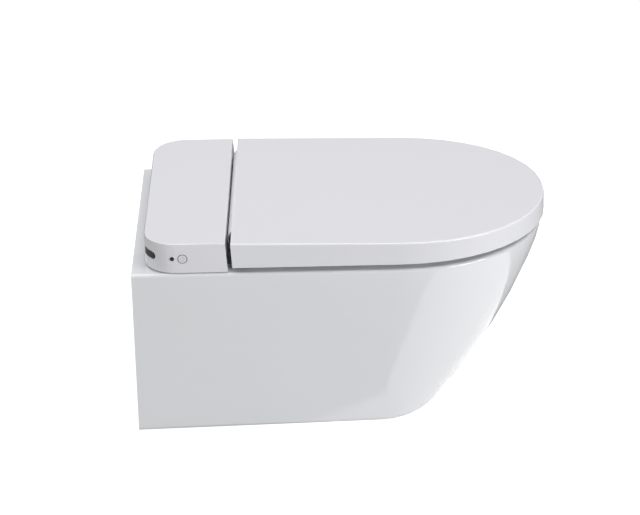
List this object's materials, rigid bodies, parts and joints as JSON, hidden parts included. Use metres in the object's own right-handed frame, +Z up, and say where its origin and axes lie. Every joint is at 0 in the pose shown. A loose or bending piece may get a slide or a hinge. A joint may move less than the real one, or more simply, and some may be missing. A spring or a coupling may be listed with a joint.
{
  "type": "wall-hung smart toilet with heated seat",
  "caption": "Wall-hung ceramic toilet with a low rear housing, soft-close lid, heated seat ring and a motor-driven spray nozzle over the bowl.",
  "frame": {"origin": "midpoint between the two wall bolts, on the wall face", "axes": "+Z up, +Y into the wall, -Y towards the user (nose), +X to the right of someone looking at the wall"},
  "size_m": [0.3716, 0.575, 0.286],
  "materials": {
    "glazed_ceramic": "glossy white glaze",
    "white_plastic": "glossy white moulding",
    "dark_plastic": "glossy dark tinted moulding",
    "grey_trim": "satin grey ring",
    "nylon": "matt grey glass-filled nylon",
    "acetal": "matt off-white acetal",
    "steel": "zinc-plated steel",
    "brass": "plain brass",
    "rubber": "soft pale grey rubber",
    "hose": "translucent silicone",
    "board": "green lacquered board",
    "black_parts": "black moulded components",
    "foil": "bright foil"
  },
  "bodies": {
    "pan": {"pan": "glazed_ceramic", "pan_bowl": "glazed_ceramic", "trapway": "glazed_ceramic", "flush_inlet": "glazed_ceramic", "wall_fixing_barrels": "nylon", "clamp_screws": "steel", "mounting_plate": "nylon", "plate_bolts": "steel", "plate_bushes": "rubber"},
    "unit": {"base_tray": "white_plastic", "tray_pads": "rubber", "top_cover": "white_plastic", "cover_screws": "steel", "hinge_bracket_right": "nylon", "hinge_bracket_left": "nylon", "bracket_screws": "steel", "hinge_pins": "steel", "nozzle_guide": "acetal", "drive_motor": "steel", "flow_heater": "acetal", "inlet_valve": "acetal", "water_inlet": "brass", "power_gland": "nylon", "pump": "black_parts", "supply_hose": "hose", "pump_hose": "hose", "nozzle_hose": "hose", "control_board": "board", "board_parts": "black_parts", "board_posts": "acetal", "button_bezel": "grey_trim", "status_led": "dark_plastic", "ir_window": "dark_plastic"},
    "nozzle": {"nozzle_arm": "white_plastic", "nozzle_tip": "white_plastic", "nozzle_shield": "white_plastic"},
    "pinion": {"drive_pinion": "acetal"},
    "power_button": {"power_button": "white_plastic"},
    "release": {"release_button": "white_plastic", "latch_bar": "nylon"},
    "seat": {"seat_top": "white_plastic", "seat_base": "white_plastic", "heating_foil": "foil", "hinge_dampers": "steel", "seat_buffers": "rubber"},
    "lid": {"lid_shell": "white_plastic", "lid_panel": "white_plastic", "lid_buffers": "rubber"}
  },
  "joints": [
    {"name": "unit_slide", "type": "slide", "parent": "pan", "child": "unit", "axis": [0, -1, 0], "range_m": [0, 0.015]},
    {"name": "seat_hinge", "type": "hinge", "parent": "unit", "child": "seat", "pos_m": [0, -0.148, 0.113], "axis": [-1, 0, 0], "range_deg": [0, 95]},
    {"name": "lid_hinge", "type": "hinge", "parent": "seat", "child": "lid", "pos_m": [0, -0.148, 0.113], "axis": [1, 0, 0], "range_deg": [-100, 0]},
    {"name": "power_button", "type": "slide", "parent": "unit", "child": "power_button", "axis": [1, 0, 0], "range_m": [0, 0.0008], "stiffness_N_per_m": 1500, "springref_m": -0.001},
    {"name": "nozzle_slide", "type": "slide", "parent": "unit", "child": "nozzle", "axis": [0, -0.9659, -0.2588], "range_m": [0, 0.085]},
    {"name": "pinion_spin", "type": "hinge", "parent": "unit", "child": "pinion", "pos_m": [0, -0.1191, 0.09271], "axis": [1, 0, 0], "range_deg": [-812, 0]},
    {"name": "release_button", "type": "slide", "parent": "unit", "child": "release", "axis": [-1, 0, 0], "range_m": [0, 0.003], "stiffness_N_per_m": 800, "springref_m": -0.002}
  ],
  "couplings": [
    {"joint": "pinion_spin", "follows": "nozzle_slide", "rad_per_m": -166.67}
  ]
}
